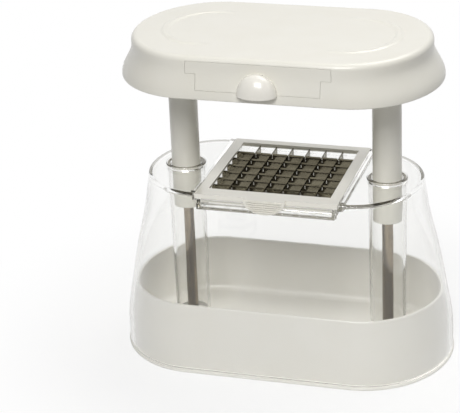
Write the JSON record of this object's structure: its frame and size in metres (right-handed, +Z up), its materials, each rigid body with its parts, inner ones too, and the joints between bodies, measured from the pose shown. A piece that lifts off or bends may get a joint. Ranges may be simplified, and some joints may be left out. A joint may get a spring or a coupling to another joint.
{
  "type": "food chopper",
  "caption": "Press-down food chopper: a sprung ivory press head on two columns pushes food through a square blade grid into the tray of a clear oval housing.",
  "frame": {"origin": "middle of the catch tray's flat underside, on the table", "axes": "+Z up along the columns, +X along the oval's length, -Y towards the user, where the knob and the thumb tab are"},
  "size_m": [0.214, 0.1266, 0.2106],
  "materials": {
    "ivory_plastic": "ivory ABS, semi gloss",
    "satin_ivory": "ivory plastic, satin",
    "clear_plastic": "water-clear styrene, polished",
    "polished_steel": "ground and polished",
    "spring_steel": "drawn spring wire",
    "blade_steel": "ground stainless strip",
    "zinc_steel": "zinc plated"
  },
  "bodies": {
    "tray": {"catch_tray": "ivory_plastic"},
    "housing": {"clear_housing": "clear_plastic", "left_guide_sleeve": "clear_plastic", "right_guide_sleeve": "clear_plastic", "left_guide_rod": "polished_steel", "right_guide_rod": "polished_steel", "left_rod_stop_cap": "zinc_steel", "right_rod_stop_cap": "zinc_steel", "left_return_spring": "spring_steel", "right_return_spring": "spring_steel", "left_rod_foot_screw": "zinc_steel", "right_rod_foot_screw": "zinc_steel"},
    "head": {"head_shell": "ivory_plastic", "head_under_plate": "satin_ivory", "head_plate_screw_1": "zinc_steel", "head_plate_screw_2": "zinc_steel", "head_plate_screw_3": "zinc_steel", "head_plate_screw_4": "zinc_steel", "left_column_tube": "ivory_plastic", "right_column_tube": "ivory_plastic", "left_column_bush": "satin_ivory", "right_column_bush": "satin_ivory", "left_column_screw": "zinc_steel", "right_column_screw": "zinc_steel"},
    "pusher": {"pusher_plate": "satin_ivory", "pusher_front_panel": "ivory_plastic", "pusher_knob": "ivory_plastic", "pusher_screw_1": "zinc_steel", "pusher_screw_2": "zinc_steel"},
    "blade_cartridge": {"blade_frame": "ivory_plastic", "blade_retainer": "clear_plastic", "blade_strip_cross_1": "blade_steel", "blade_strip_cross_2": "blade_steel", "blade_strip_cross_3": "blade_steel", "blade_strip_cross_4": "blade_steel", "blade_strip_cross_5": "blade_steel", "blade_strip_cross_6": "blade_steel", "blade_strip_long_1": "blade_steel", "blade_strip_long_2": "blade_steel", "blade_strip_long_3": "blade_steel", "blade_strip_long_4": "blade_steel", "blade_strip_long_5": "blade_steel", "blade_strip_long_6": "blade_steel"}
  },
  "joints": [
    {"name": "housing_lift", "type": "slide", "parent": "tray", "child": "housing", "axis": [0, 0, 1], "range_m": [0, 0.08]},
    {"name": "head_press", "type": "slide", "parent": "housing", "child": "head", "axis": [0, 0, -1], "range_m": [0, 0.075], "stiffness_N_per_m": 445, "springref_m": -0.018, "deforming": ["left_return_spring", "right_return_spring"]},
    {"name": "pusher_slide", "type": "slide", "parent": "head", "child": "pusher", "axis": [0, -1, 0], "range_m": [0, 0.115]},
    {"name": "blade_slide", "type": "slide", "parent": "housing", "child": "blade_cartridge", "axis": [0, -1, 0], "range_m": [0, 0.115]}
  ]
}
